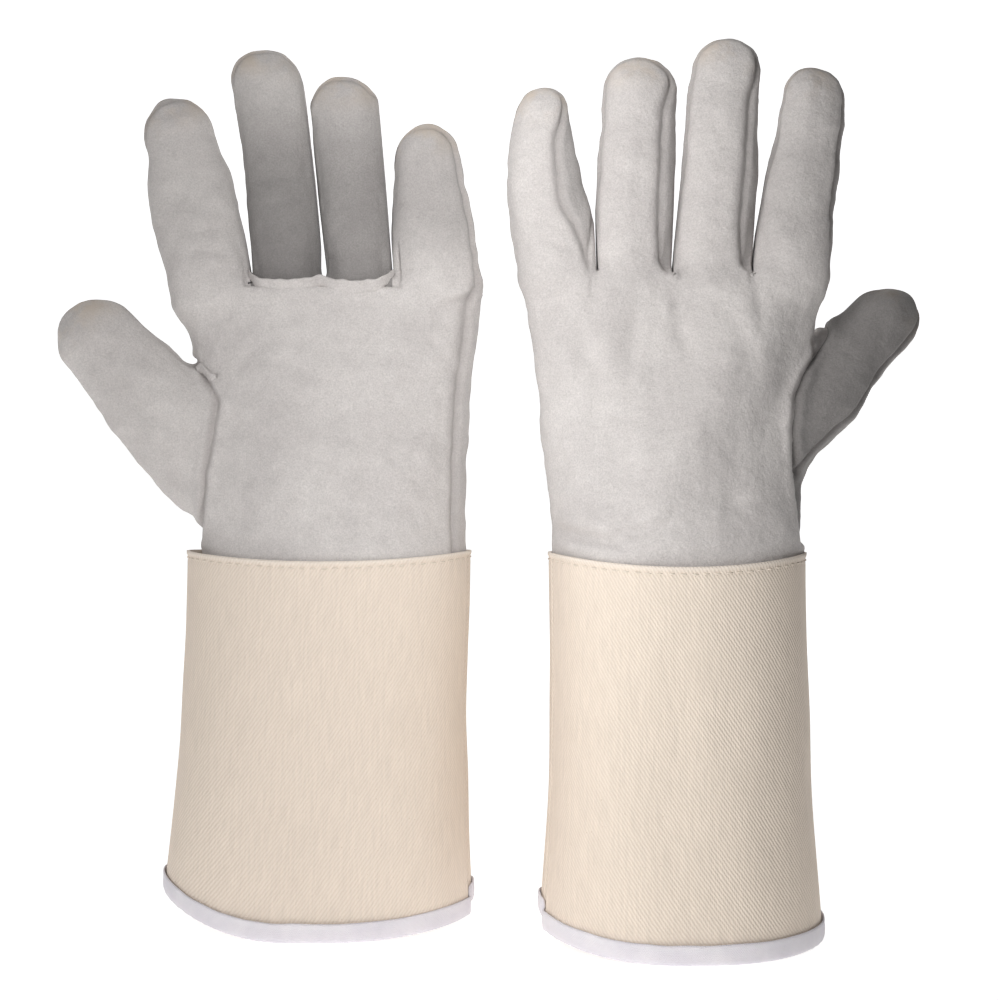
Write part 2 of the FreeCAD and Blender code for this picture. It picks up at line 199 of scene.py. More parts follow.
class Glove:
    """One glove's shape: the palm's stops, its digits and where its pieces part."""

    def __init__(self, name, spec):
        self.name = name
        low, high = (np.array(c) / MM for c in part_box(f"{name}_cuff_hem_binding"))
        wrist = self.joint("wrist_fold")
        self.turn = round(wrist["axis"][0])
        self.centre = np.array(((low[0] + high[0]) / 2, (low[1] + high[1]) / 2, 0.0))
        self.spec = spec
        self.palm_left, self.palm_right, self.palm_deep = (
            Line(*[(stop[0], stop[column]) for stop in spec["palm"]], soft=PALM_SOFT)
            for column in (1, 2, 3))
        self.fingers = {name: Digit(**spec["fingers"][name]) for name in FINGERS}
        self.thumb = Digit(**spec["thumb"])
        self.folds = {}
        for name in FINGERS:
            for part in ("base", "middle"):
                place = self.to_local(self.joint(f"{name}_{part}_fold")["pos_m"])
                self.folds[name, part] = float(self.fingers[name].local(place[None])[0][0])
        self.crotches = self.find_crotches()

    def joint(self, name):
        return next(j for j in frame["joints"] if j["name"] == f"{self.name}_{name}")

    def to_local(self, metres):
        return (np.array(metres, float) / MM - self.centre) * (self.turn, self.turn, 1)

    def to_world(self, points):
        return (np.asarray(points, float) * (self.turn, self.turn, 1) + self.centre) * MM

    def find_crotches(self):
        """The line between each two fingers: where it starts, its slope and its lowest point."""
        found = []
        for first, second in zip(FINGERS, FINGERS[1:]):
            a, b = self.fingers[first], self.fingers[second]
            starts = []
            for digit, edge in ((a, 1), (b, -1)):
                up = (CROTCH_LEVEL - digit.root[2]) / digit.axis[2]
                across = edge * float(digit.width(up)) + float(digit.sway(up))
                starts.append(digit.place(up, across)[0])
            slope = (a.axis[0] / a.axis[2] + b.axis[0] / b.axis[2]) / 2
            found.append((sum(starts) / 2, CROTCH_LEVEL, slope, self.spec["crotch"][len(found)]))
        return found

    def between(self, index, points):
        """Distance in X past the line between two fingers."""
        x, level, slope, bottom = self.crotches[index]
        return points[..., 0] - x - slope * (points[..., 2] - level)

    def gather(self, points):
        """From the spread-out space, where neighbouring fingers stand apart, to the real one."""
        room = SPREAD * ramp(points[:, 2], FINGER_CUT - 8.0, FINGER_CUT)
        x = points[:, 0].copy()
        for index in range(3):
            past = self.between(index, points) - (index - 1) * 2 * room
            x -= np.clip(past / SPREAD, -1, 1) * room
        return np.column_stack((x, points[:, 1], points[:, 2]))

    def palm_distance(self, points):
        z = points[:, 2]
        left, right, deep = self.palm_left(z), self.palm_right(z), self.palm_deep(z)
        value, slope = oval_field(points[:, 0] - (left + right) / 2, points[:, 1],
                                  (right - left) / 2, deep, 2.3)
        return smooth_max((value - 1) / np.maximum(slope, 0.01), z - PALM_TOP, 7.0)

    def distance(self, points):
        """Roughly how far outside the leather's outer face the points are."""
        total = self.palm_distance(points)
        fingers = np.full(len(points), FAR_OUT)
        near = points[:, 2] > FINGER_CUT - 25.0
        if near.any():
            close = points[near]
            best = fingers[near]
            for place, digit in enumerate(self.fingers.values()):
                own = digit.distance(close)
                for index, side in ((place - 1, 1), (place, -1)):
                    if 0 <= index < 3:
                        under = np.maximum(self.crotches[index][3] - close[:, 2], 0)
                        past = CROTCH_GAP - side * self.between(index, close)
                        own = np.maximum(own, past - 1.5 * under)
                best = smooth_min(best, own, FINGER_BLEND)
            fingers[near] = best
        total = smooth_min(total, fingers, PALM_BLEND)
        total = smooth_min(total, self.thumb.distance(points), THUMB_BLEND)
        for index in range(3):
            bottom = self.crotches[index][3]
            slot = CROTCH_GAP - np.hypot(self.between(index, points),
                                         np.maximum(bottom - points[:, 2], 0))
            total = np.maximum(total, slot)
        return total

    # Where the pieces part: every field is in millimetres and 0 on the parting line.

    def back_field(self, points):
        """Above 0 on the back pieces and below 0 on the palm-side ones."""
        z = points[:, 2]
        left, right, deep = self.palm_left(z), self.palm_right(z), self.palm_deep(z)
        share = (points[:, 0] - left) / (right - left)
        thumb_side, little_side = self.spec["side_seam"]
        level = thumb_side + (little_side - thumb_side) * ease(share)
        total = np.minimum(points[:, 1] - level * deep, self.spec["back_top"] - z)
        for name in FINGERS:
            digit = self.fingers[name]
            up, across, back = digit.local(points)
            width, depth = digit.width(up), digit.depth(up)
            limits = self.spec["seams"][name]
            low, high = (Line(*side, soft=8.0)(up) for side in limits)
            low_side, high_side = -np.sqrt(1 - low ** 2), np.sqrt(1 - high ** 2)
            tilt = (high - low) / (high_side - low_side)
            offset = back / depth - low - tilt * (across / width - low_side)
            strip = offset * depth / np.hypot(1, tilt * depth / width)
            outside = np.abs(across) - width - 1.0
            strip = np.where(outside < 0, strip, np.minimum(strip, -outside))
            total = smooth_max(total, np.where(z > 262, strip, -50.0), 4.0)
        return total

    def thumb_back_field(self, points):
        up, across, back = self.thumb.local(points)
        return back - self.spec["thumb_seam"] * self.thumb.depth(up)

    def thumb_field(self, points):
        """Above 0 on the thumb's pieces."""
        z = points[:, 2]
        edge = self.spec["thumb_edge"](z)
        rise = self.spec["thumb_rise"] * np.maximum(-60 - points[:, 0], 0)
        return np.minimum(edge - points[:, 0],
                          np.minimum(z - THUMB_SEAM_LOW, THUMB_SEAM_HIGH - z + rise))


# Meshes ---------------------------------------------------------------------------------

def surface_net(field, low, step):
    """Vertices and quads of the surface where the field passes 0."""
    sizes = np.array(field.shape)
    inside = field < 0
    corner = [(i, j, k) for i in (0, 1) for j in (0, 1) for k in (0, 1)]

    def shifted(array, offset):
        i, j, k = offset
        return array[i:sizes[0] - 1 + i, j:sizes[1] - 1 + j, k:sizes[2] - 1 + k]

    count = sum(shifted(inside, c).astype(np.int8) for c in corner)
    cells = np.argwhere((count > 0) & (count < 8))
    number = np.full(sizes - 1, -1, np.int64)
    number[tuple(cells.T)] = np.arange(len(cells))
    values = np.array([field[tuple((cells + c).T)] for c in corner])
    total, hits = np.zeros((len(cells), 3)), np.zeros(len(cells))
    for a in range(8):
        for b in range(a + 1, 8):
            start, end = np.array(corner[a]), np.array(corner[b])
            if np.abs(end - start).sum() != 1:
                continue
            crossing = (values[a] < 0) != (values[b] < 0)
            gap = values[a] - values[b]
            share = np.where(crossing, values[a] / np.where(crossing, gap, 1), 0)
            total += np.where(crossing[:, None], start + share[:, None] * (end - start), 0)
            hits += crossing
    vertices = low + (cells + total / hits[:, None]) * step
    quads = []
    for axis in range(3):
        others = [a for a in range(3) if a != axis]
        ahead = [slice(1, -1)] * 3
        ahead[axis] = slice(0, -1)
        behind = list(ahead)
        behind[axis] = slice(1, None)
        first, second = inside[tuple(ahead)], inside[tuple(behind)]
        edges = np.argwhere(first != second)
        place = edges + 1
        place[:, axis] -= 1
        ring = []
        for d, e in ((-1, -1), (0, -1), (0, 0), (-1, 0)):
            cell = place.copy()
            cell[:, others[0]] += d
            cell[:, others[1]] += e
            ring.append(number[tuple(cell.T)])
        quad = np.array(ring).T
        flip = first[tuple(edges.T)] != (axis == 1)
        quad[~flip] = quad[~flip][:, ::-1]
        quads.append(quad)
    return vertices, np.vstack(quads)


def gradient(function, points, step=0.25):
    result = np.zeros_like(points)
    for axis in range(3):
        move = np.zeros(3)
        move[axis] = step
        result[:, axis] = function(points + move) - function(points - move)
    return result / (2 * step)


def split_quads(points, quads):
    """Each quad as two triangles, along its shorter diagonal."""
    a, b, c, d = quads.T
    short = (np.linalg.norm(points[a] - points[c], axis=1)
             <= np.linalg.norm(points[b] - points[d], axis=1))[:, None, None]
    first = np.stack((np.column_stack((a, b, c)), np.column_stack((a, c, d))), 1)
    second = np.stack((np.column_stack((a, b, d)), np.column_stack((b, c, d))), 1)
    return np.where(short, first, second).reshape(-1, 3)


def cut(points, triangles, values, snap=0.1):
    """The same surface with new corners wherever its edges cross the line of value 0.

    Edges with an end where the value is nan are left whole."""
    values = np.where(np.abs(values) < snap, 0.0, values)
    corner = values[triangles]
    after = np.roll(triangles, -1, axis=1)
    crossing = corner * values[after] < 0
    edges = np.sort(np.stack((triangles, after), 2), axis=2)
    unique, place = np.unique(edges[crossing], axis=0, return_inverse=True)
    share = values[unique[:, 0]] / (values[unique[:, 0]] - values[unique[:, 1]])
    extra = points[unique[:, 0]] * (1 - share[:, None]) + points[unique[:, 1]] * share[:, None]
    middle = np.full(triangles.shape, -1)
    middle[crossing] = place.ravel() + len(points)
    hits = crossing.sum(1)
    made = [triangles[hits == 0]]
    for turn in range(3):
        a, b, c = (np.roll(triangles, -turn, axis=1)[:, i] for i in range(3))
        ab, bc, ca = (np.roll(middle, -turn, axis=1)[:, i] for i in range(3))
        one = (hits == 1) & (ab >= 0)
        made.append(np.column_stack((a, ab, c))[one])
        made.append(np.column_stack((ab, b, c))[one])
        two = (hits == 2) & (ab >= 0) & (ca >= 0)
        made.append(np.column_stack((a, ab, ca))[two])
        made.append(np.column_stack((ab, b, c))[two])
        made.append(np.column_stack((ab, c, ca))[two])
    return np.vstack((points, extra)), np.vstack(made)


def vertex_normals(points, triangles):
    a, b, c = (points[triangles[:, i]] for i in range(3))
    face = np.cross(b - a, c - a)
    normals = np.zeros_like(points)
    for i in range(3):
        np.add.at(normals, triangles[:, i], face)
    return normals / np.maximum(np.linalg.norm(normals, axis=1), 1e-12)[:, None]


def make_object(name, points, faces, glove=None, normals=None, attributes=None):
    """A smooth-shaded mesh object from arrays; normals are per corner."""
    faces = np.asarray(faces)
    mesh = bpy.data.meshes.new(name)
    world = glove.to_world(points) if glove else np.asarray(points) * MM
    size = faces.shape[1]
    mesh.vertices.add(len(world))
    mesh.vertices.foreach_set("co", world.astype(np.float32).ravel())
    mesh.loops.add(faces.size)
    mesh.loops.foreach_set("vertex_index", faces.astype(np.int32).ravel())
    mesh.polygons.add(len(faces))
    mesh.polygons.foreach_set("loop_start", np.arange(0, faces.size, size, dtype=np.int32))
    mesh.polygons.foreach_set("use_smooth", np.ones(len(faces), bool))
    for label, values in (attributes or {}).items():
        layer = mesh.attributes.new(label, "FLOAT", "POINT")
        layer.data.foreach_set("value", np.asarray(values, np.float32))
    mesh.update(calc_edges=True)
    mesh.validate()
    if normals is not None:
        turned = normals * ((glove.turn, glove.turn, 1) if glove else (1, 1, 1))
        mesh.normals_split_custom_set(turned.tolist())
    obj = bpy.data.objects.new(name, mesh)
    bpy.context.scene.collection.objects.link(obj)
    return obj


def boundary(faces):
    """The edges that belong to one face only, in that face's direction."""
    after = np.roll(faces, -1, axis=1)
    edges = np.stack((faces, after), 2).reshape(-1, 2)
    _, place, count = np.unique(np.sort(edges, axis=1), axis=0, return_inverse=True,
                                return_counts=True)
    return edges[count[place.ravel()] == 1]


def shell(name, glove, points, normals, triangles, thickness, attributes):
    """One cut piece as a closed sheet of that thickness below its outer face."""
    used, faces = np.unique(triangles, return_inverse=True)
    faces = faces.reshape(-1, 3)
    outer, out = points[used], normals[used]
    inner = outer - out * thickness
    count = len(used)
    rim = boundary(faces)
    side = np.vstack((np.column_stack((rim[:, 1], rim[:, 0], rim[:, 0] + count)),
                      np.column_stack((rim[:, 1], rim[:, 0] + count, rim[:, 1] + count))))
    every = np.vstack((faces, faces[:, ::-1] + count, side))
    where = np.vstack((outer, inner))
    flat = np.cross(where[side[:, 1]] - where[side[:, 0]], where[side[:, 2]] - where[side[:, 0]])
    flat /= np.maximum(np.linalg.norm(flat, axis=1), 1e-9)[:, None]
    corner = np.vstack((out[faces.ravel()], -out[faces[:, ::-1].ravel()], np.repeat(flat, 3, 0)))
    both = {key: np.tile(value[used], 2) for key, value in attributes.items()}
    return make_object(name, where, every, glove, corner, both)


# Leather --------------------------------------------------------------------------------

def hand_skin(glove):
    """The hand's outer face in one, from inside the cuff to the fingertips."""
    low = np.array(HAND_LOW)
    size = np.array(HAND_SIZE) / GRID
    axes = [low[a] + np.arange(int(size[a])) * GRID for a in range(3)]
    coarse = 4
    grid = np.stack(np.meshgrid(*[a[::coarse] for a in axes], indexing="ij"), -1)
    rough = glove.distance(glove.gather(grid.reshape(-1, 3))).reshape(grid.shape[:3])
    near = np.abs(rough) < 14.0
    cells = tuple(slice(0, len(a)) for a in axes)
    field, close = (
        np.repeat(np.repeat(np.repeat(values, coarse, 0), coarse, 1), coarse, 2)[cells]
        for values in (rough, near))
    place = np.argwhere(close)
    spots = np.column_stack([axes[a][place[:, a]] for a in range(3)])
    field[tuple(place.T)] = glove.distance(glove.gather(spots))
    points, quads = surface_net(field, low, GRID)
    points = glove.gather(points)
    for _ in range(3):
        slope = gradient(glove.distance, points)
        steep = np.maximum((slope ** 2).sum(1), 0.15)
        move = (glove.distance(points) / steep)[:, None] * slope
        reach = np.linalg.norm(move, axis=1)[:, None]
        points -= move * np.minimum(1, 0.6 / np.maximum(reach, 1e-9))
    return points, split_quads(points, quads)


def thumb_side(points):
    """The thumb's upper end, which stands beside the index finger and above its cut."""
    return (points[:, 0] < THUMB_SIDE) & (points[:, 2] < THUMB_TOP)


def piece_labels(glove, points):
    """Which piece each point of the skin belongs to."""
    z = points[:, 2]
    back = glove.back_field(points) > 0
    labels = np.where(back, "back_panel", "palm_panel").astype("<U24")
    above = (z > FINGER_CUT) & ~thumb_side(points)
    place = sum((glove.between(index, points) > 0).astype(int) for index in range(3))
    for index, name in enumerate(FINGERS):
        digit = glove.fingers[name]
        up = digit.local(points)[0]
        split = FOLD_SPLIT * glove.folds[name, "middle"]
        for part, there in (("base", up <= split), ("tip", up > split)):
            for half, side in (("front", ~back), ("back", back)):
                labels[above & (place == index) & there & side] = f"{name}_{part}_{half}"
    thumb = (glove.thumb_field(points) > 0) & ~above
    thumb_back = glove.thumb_back_field(points) > 0
    up = glove.thumb.local(points)[0]
    for part, there in (("base", up <= glove.thumb_split), ("tip", up > glove.thumb_split)):
        for half, side in (("front", ~thumb_back), ("back", thumb_back)):
            labels[thumb & there & side] = f"thumb_{part}_{half}"
    return labels


def crease(points, start, end, depth, width, roll=0.35):
    """A soft fold line in X and Z, with a small roll on each side of it."""
    start, end = np.array(start, float), np.array(end, float)
    flat = points[:, (0, 2)]
    along = end - start
    share = np.clip(((flat - start) @ along) / (along @ along), 0, 1)
    away = np.linalg.norm(flat - start - share[:, None] * along, axis=1)
    fade = np.sin(np.pi * np.clip(share, 0.02, 0.98)) ** 0.5
    return fade * depth * (-hill(away, width) + roll * hill(away - 2.2 * width, 1.3 * width))


def relief(glove, points, normals):
    """How far the leather stands out from the plain shape, and its marks for the material."""
    z = points[:, 2]
    seam = glove.back_field(points)
    thumb = glove.thumb_field(points)
    on_thumb = ramp(thumb, -0.5, 0.5) * np.maximum(ramp(-z, -FINGER_CUT, -FINGER_CUT + 3),
                                                   thumb_side(points))
    away = np.abs(seam) * (1 - on_thumb) + np.abs(glove.thumb_back_field(points)) * on_thumb
    lift = -1.25 * hill(away, 1.0) + 0.45 * hill(away - 2.8, 1.6)
    thumb_seam = np.abs(thumb)
    deep = ramp(-z, -FINGER_CUT, -FINGER_CUT + 6)
    lift += deep * (-1.5 * hill(thumb_seam, 1.3) + 0.7 * hill(thumb_seam - 3.2, 2.0))
    front = ramp(-normals[:, 1], 0.0, 0.5)
    rear = ramp(normals[:, 1], 0.0, 0.5)
    for side, marks in ((front, glove.spec["palm_creases"]), (rear, glove.spec["back_creases"])):
        for start, end, depth, width in marks:
            lift += side * crease(points, start, end, depth, width)
    seed = glove.spec["seed"]
    soft = ramp(z, CUFF_TOP - 4, CUFF_TOP + 6)
    lift += soft * sum(height * waves(points, seed + turn, length)
                       for turn, (height, length) in enumerate(UNEVENNESS))
    for digit in (glove.fingers["middle"], glove.fingers["ring"]):
        up, across, back = digit.local(points)
        tucked = ramp(z, FINGER_CUT - 1.5, FINGER_CUT + 0.5) * (1 - ramp(up, 5.0, 14.0))
        near = np.abs(across) < digit.width(up) + 3
        lift -= 1.6 * tucked * front * near
    for index in range(3):
        past = np.abs(glove.between(index, points))
        near = ramp(z, glove.crotches[index][3] - 5, glove.crotches[index][3] - 1)
        lift *= 1 - near * (1 - ramp(past, 0.8, 3.0))
    return lift, np.minimum(away, thumb_seam)


def tip_marks(glove, points):
    """1 at the stained ends of the digits, fading to 0."""
    total = np.zeros(len(points))
    for digit in [*glove.fingers.values(), glove.thumb]:
        up, across, back = digit.local(points)
        inside = (np.abs(across) < digit.width(up) + 2) & (np.abs(back) < digit.depth(up) + 4)
        total = np.maximum(total, inside * ramp(up, digit.length - 20, digit.length - 1))
    return total


def above_cut(points):
    return (points[:, 2] > FINGER_CUT - 0.15) & ~thumb_side(points)


def below_cut(points, spare=0.0):
    return (points[:, 2] < FINGER_CUT + spare) | thumb_side(points)


def own_finger(glove, points, place):
    """Whether each point lies between that finger's two neighbours."""
    past = sum((glove.between(index, points) > 0).astype(int) for index in range(3))
    near = sum((glove.between(index, points) > -0.15).astype(int) for index in range(3))
    return (past == place) | (near == place)


def make_leather(glove, materials):
    points, triangles = hand_skin(glove)
    keep = points[:, 2][triangles].min(1) > FLOOR_OF_LEATHER - 3
    triangles = triangles[keep]
    joint = glove.to_local(glove.joint("thumb_middle_fold")["pos_m"])
    glove.thumb_split = float(glove.thumb.local(joint[None])[0][0]) + 1.5

    def on_thumb(p):
        return (glove.thumb_field(p) > -0.2) & below_cut(p)

    fields = [lambda p: p[:, 2] - FLOOR_OF_LEATHER,
              lambda p: np.where(thumb_side(p), np.nan, p[:, 2] - FINGER_CUT),
              lambda p: np.where(below_cut(p, 0.2), glove.thumb_field(p), np.nan),
              lambda p: np.where(glove.thumb_field(p) < 0.2, glove.back_field(p), np.nan),
              lambda p: np.where(on_thumb(p), glove.thumb_back_field(p), np.nan),
              lambda p: np.where(on_thumb(p), glove.thumb.local(p)[0] - glove.thumb_split, np.nan)]
    for index in range(3):
        fields.append(lambda p, index=index: np.where(
            above_cut(p), glove.between(index, p), np.nan))
    for place, name in enumerate(FINGERS):
        fields.append(lambda p, place=place, name=name: np.where(
            above_cut(p) & own_finger(glove, p, place),
            glove.fingers[name].local(p)[0] - FOLD_SPLIT * glove.folds[name, "middle"], np.nan))
    for field in fields:
        points, triangles = cut(points, triangles, field(points))
    middle = points[triangles].mean(1)
    triangles = triangles[middle[:, 2] > FLOOR_OF_LEATHER]
    labels = piece_labels(glove, points[triangles].mean(1))
    normals = vertex_normals(points, triangles)
    lift, away = relief(glove, points, normals)
    points = points + normals * lift[:, None]
    normals = vertex_normals(points, triangles)
    marks = {"seam": hill(away, 2.2), "tip": tip_marks(glove, points)}
    # Painted shade: the spec's factor darkens the suede of some digits to stand in for the shade
    # that falls on them. It fades in over 30 mm above the finger cut, except on the thumb and the
    # middle and ring base fronts, and eases off by 60% towards the fingertips.
    up_finger = ramp(points[:, 2], FINGER_CUT, FINGER_CUT + 30)
    for label in np.unique(labels):
        side = label.replace("_base", "").replace("_tip", "")
        tone = glove.spec["painted_shades"].get(side, 1.0)
        fully_shaded = label.startswith("thumb") or label in FULLY_SHADED
        fade = np.ones(len(points)) if fully_shaded else up_finger
        marks["tone"] = 1 + (tone - 1) * fade * (1 - 0.6 * ramp(points[:, 2], 325, 378))
        obj = shell(f"{glove.name}_{label}.suede", glove, points, normals,
                    triangles[labels == label], LEATHER, marks)
        obj.data.materials.append(materials["suede"])
        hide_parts(f"{glove.name}_{label}")
        bend_piece(glove, label, obj)


def bend_piece(glove, label, obj):
    """Bakes a piece of leather's transform into its mesh; the ends of its joint are worked out and
    not used.
    """

    def bent(start, end):
        tuple(glove.to_world(start))
        tuple(glove.to_world(end))
        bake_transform(obj)

    if label in ("palm_panel", "back_panel"):
        bent((0, 0, WRIST_BEND[0]), (0, 0, WRIST_BEND[1]))
        return
    digit_name, part, _ = label.split("_")
    if digit_name == "thumb":
        digit = glove.thumb
        if part == "base":
            start, end = THUMB_BEND
            bent((start, 0, THUMB_LEVEL), (end, 0, THUMB_LEVEL))
        else:
            start = glove.thumb_split
            bent(digit.place(start + 0.5), digit.place(start + 18))
        return
    digit = glove.fingers[digit_name]
    fold = glove.folds[digit_name, "middle"]
    if part == "base":
        bent(digit.place(1.0), digit.place(0.56 * fold))
    else:
        bent(digit.place(0.64 * fold),
             digit.place(1.45 * fold))


def skin_depth(glove, x, z, side):
    """How far the leather's outer face lies from the glove's middle plane, towards a side."""
    near, far = np.zeros(len(x)), np.full(len(x), FAR_OUT)
    for _ in range(22):
        middle = (near + far) / 2
        outside = glove.distance(np.column_stack((x, side * middle, z))) > 0
        far = np.where(outside, middle, far)
        near = np.where(outside, near, middle)
    return near


def tube(here, there):
    """Quads between each ring of indexes and the next one."""
    return np.stack((here, np.roll(here, -1, 1), np.roll(there, -1, 1), there), -1).reshape(-1, 4)


def sweep(path, outward, upward, profile):
    """Quads of a closed profile of (outward, upward) offsets carried along a path."""
    points = np.stack([path + outward * o + upward * u for o, u in profile], 1)
    count, around = points.shape[:2]
    index = np.arange(count * around).reshape(count, around)
    here, there = index[:-1], index[1:]
    quads = np.stack((here, there, np.roll(there, -1, axis=1), np.roll(here, -1, axis=1)), -1)
    return points.reshape(-1, 3), quads.reshape(-1, 4)


def plain_marks(count):
    """The suede's marks for a small piece that has no seam line, stain or painted shade."""
    return {"seam": np.zeros(count), "tip": np.zeros(count), "tone": np.ones(count)}


def make_welt(glove, materials):
    """The turned edge of the palm that stands proud under the middle and ring fingers."""
    stops = Line(*glove.spec["welt"], soft=2.0)
    ends = [stop[0] for stop in glove.spec["welt"]]
    x = np.arange(min(ends), max(ends), 0.6)
    z = stops(x) + 0.25 * np.sin(x * 0.9 + 1.0) * np.sin(x * 0.23)
    depth = skin_depth(glove, x, z - 2.0, -1)
    box = np.hanning(13)
    depth = np.convolve(np.pad(depth, 6, mode="edge"), box / box.sum(), mode="valid")
    path = np.column_stack((x, -depth, z))
    fade = np.sin(np.pi * np.clip((x - x[0]) / (x[-1] - x[0]), 0.0, 1)) ** 0.3
    outward = np.column_stack((0 * x, -fade, 0 * x))
    upward = np.column_stack((0 * x, 0 * x, 0.4 + 0.6 * fade))
    profile = ((-0.6, -5.4), (0.1, -5.3), (0.75, -4.4), (1.5, -2.2), (2.0, -0.7), (2.45, -0.2),
               (2.5, 0.35), (2.1, 0.8), (1.4, 0.85), (0.6, 0.4), (-0.6, -0.6))
    points, quads = sweep(path, outward, upward, profile)
    normals = vertex_normals(points, split_quads(points, quads))
    points += normals * (0.1 * waves(points, 91, 4.0))[:, None]
    obj = make_object(f"{glove.name}_finger_base_welt.suede", points, quads, glove,
                      attributes=plain_marks(len(points)))
    finish_piece(glove, obj, "finger_base_welt", "suede", "hand", materials)


def make_web_tab(glove, materials):
    """The small folded gusset in the corner between thumb and palm."""
    (x0, z0), (x1, z1) = glove.spec["web"]
    share = np.linspace(0, 1, 15)
    x, z = x0 + (x1 - x0) * share, z0 + (z1 - z0) * share + 1.2 * np.sin(share * math.pi * 2)
    depth = skin_depth(glove, x, z - 1.0, -1)
    path = np.column_stack((x, -depth, z))
    size = np.sin(np.pi * np.clip(share, 0.06, 0.94)) ** 0.4
    outward = np.column_stack((0 * x, -size, 0 * x))
    upward = np.column_stack((-0.2 * size, 0 * x, size))
    profile = ((-1.2, -3.0), (0.2, -2.6), (1.2, -1.6), (1.9, 0.2), (2.1, 1.6), (1.6, 2.6),
               (0.4, 2.9), (-1.2, 2.6))
    points, quads = sweep(path, outward, upward, profile)
    obj = make_object(f"{glove.name}_thumb_web_gusset.suede", points, quads, glove,
                      attributes=plain_marks(len(points)))
    finish_piece(glove, obj, "thumb_web_gusset", "suede", "hand", materials)


def finish_piece(glove, obj, node, slot, body, materials):
    obj.data.materials.append(materials[slot])
    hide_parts(f"{glove.name}_{node}")
    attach(obj, f"{glove.name}_{body}")


# Cuff -----------------------------------------------------------------------------------

class Cuff:
    """The canvas tube: a place on it is (distance round from the seam, share of its height)."""

    power = 2.25

    def __init__(self, glove):
        self.glove = glove
        low, high = (np.array(c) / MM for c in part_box(f"{glove.name}_cuff_hem_binding"))
        self.hem = (high - low)[:2] / 2 - 0.8
        self.top = np.array(glove.spec["cuff_top"]) / 2
        dense = np.linspace(0, TAU, 2001)
        loop = self.section(dense, 0.5)
        steps = np.linalg.norm(np.diff(loop, axis=0), axis=1)
        self.length = np.concatenate(([0], np.cumsum(steps)))
        self.angle = dense
        self.round = self.length[-1]

    def half_size(self, share):
        return self.hem + (self.top - self.hem) * np.asarray(share)[..., None]

    def section(self, angle, share):
        half = self.half_size(share)
        c, s = np.cos(angle), np.sin(angle)
        x = np.sign(c) * np.abs(c) ** (2 / self.power) * half[..., 0]
        y = np.sign(s) * np.abs(s) ** (2 / self.power) * half[..., 1]
        return np.stack((x, y), -1)

    def heights(self, x, y, run):
        """Lowest and highest edge of the canvas at a place round it."""
        span = self.hem[0]
        rise = np.where(x > 0, self.glove.spec["hem_rise"][1], self.glove.spec["hem_rise"][0])
        low = 1.0 + rise * np.clip((np.abs(x) - 10) / (span - 10), 0, 1) ** 2
        shown = self.glove.spec["shown"]
        past = (run - self.glove.spec["seam_run"]) * -shown
        step = HEM_STEP * ramp(past, -1.5, 1.5) * (1 - ramp(past, 6, 60))
        dip = self.glove.spec["top_dip"] * (1 - np.clip(np.abs(x) / self.top[0], 0, 1) ** 2)
        return low + step, CUFF_TOP - dip * np.where(y * shown > 0, 1.0, 0.3)

    def surface(self, run, share, out=0.0):
        """Points of the canvas's outer face, or `out` millimetres off it."""
        angle = np.interp(run % self.round, self.length, self.angle)
        flat = self.section(angle, share)
        low, high = self.heights(flat[..., 0], flat[..., 1], run_centred(run, self.round))
        z = low + (high - low) * share
        flat = self.section(angle, z / CUFF_TOP)
        half = self.half_size(z / CUFF_TOP)
        away = np.sign(flat) * (np.abs(flat) / half) ** (self.power - 1) / half
        away /= np.maximum(np.linalg.norm(away, axis=-1), 1e-9)[..., None]
        shape = np.stack((flat[..., 0], flat[..., 1], z), -1)
        out = out + self.ripple(shape, share, run_centred(run, self.round), high - z)
        shape[..., :2] += away * out[..., None]
        shape[..., 0] += self.glove.spec["hem_shift"] * (1 - z / CUFF_TOP)
        return shape, np.concatenate((away, np.zeros(away.shape[:-1] + (1,))), -1)

    def ripple(self, shape, share, run, below_top):
        """The canvas's own unevenness, seam groove and turned top edge."""
        seed = self.glove.spec["seed"] + 10
        stretched = shape.reshape(-1, 3) * (1.0, 1.0, 0.45)
        loose = np.sin(np.pi * np.clip(share, 0, 1)) ** 0.7
        soft = waves(stretched, seed, 60.0).reshape(share.shape)
        fine = waves(stretched, seed + 1, 22.0).reshape(share.shape)
        out = loose * (1.5 * soft + 0.35 * fine) - 1.2 * loose
        past = run - self.glove.spec["seam_run"]
        out += -0.9 * hill(past, 0.8) + 0.35 * hill(np.abs(past) - 2.4, 1.5)
        return out - 0.35 * hill(below_top - 3.0, 0.8) + 0.4 * hill(below_top - 0.8, 0.9)


def run_centred(run, whole):
    """Distance round the cuff from its little-finger side, from minus half to plus half."""
    return (run + whole / 2) % whole - whole / 2


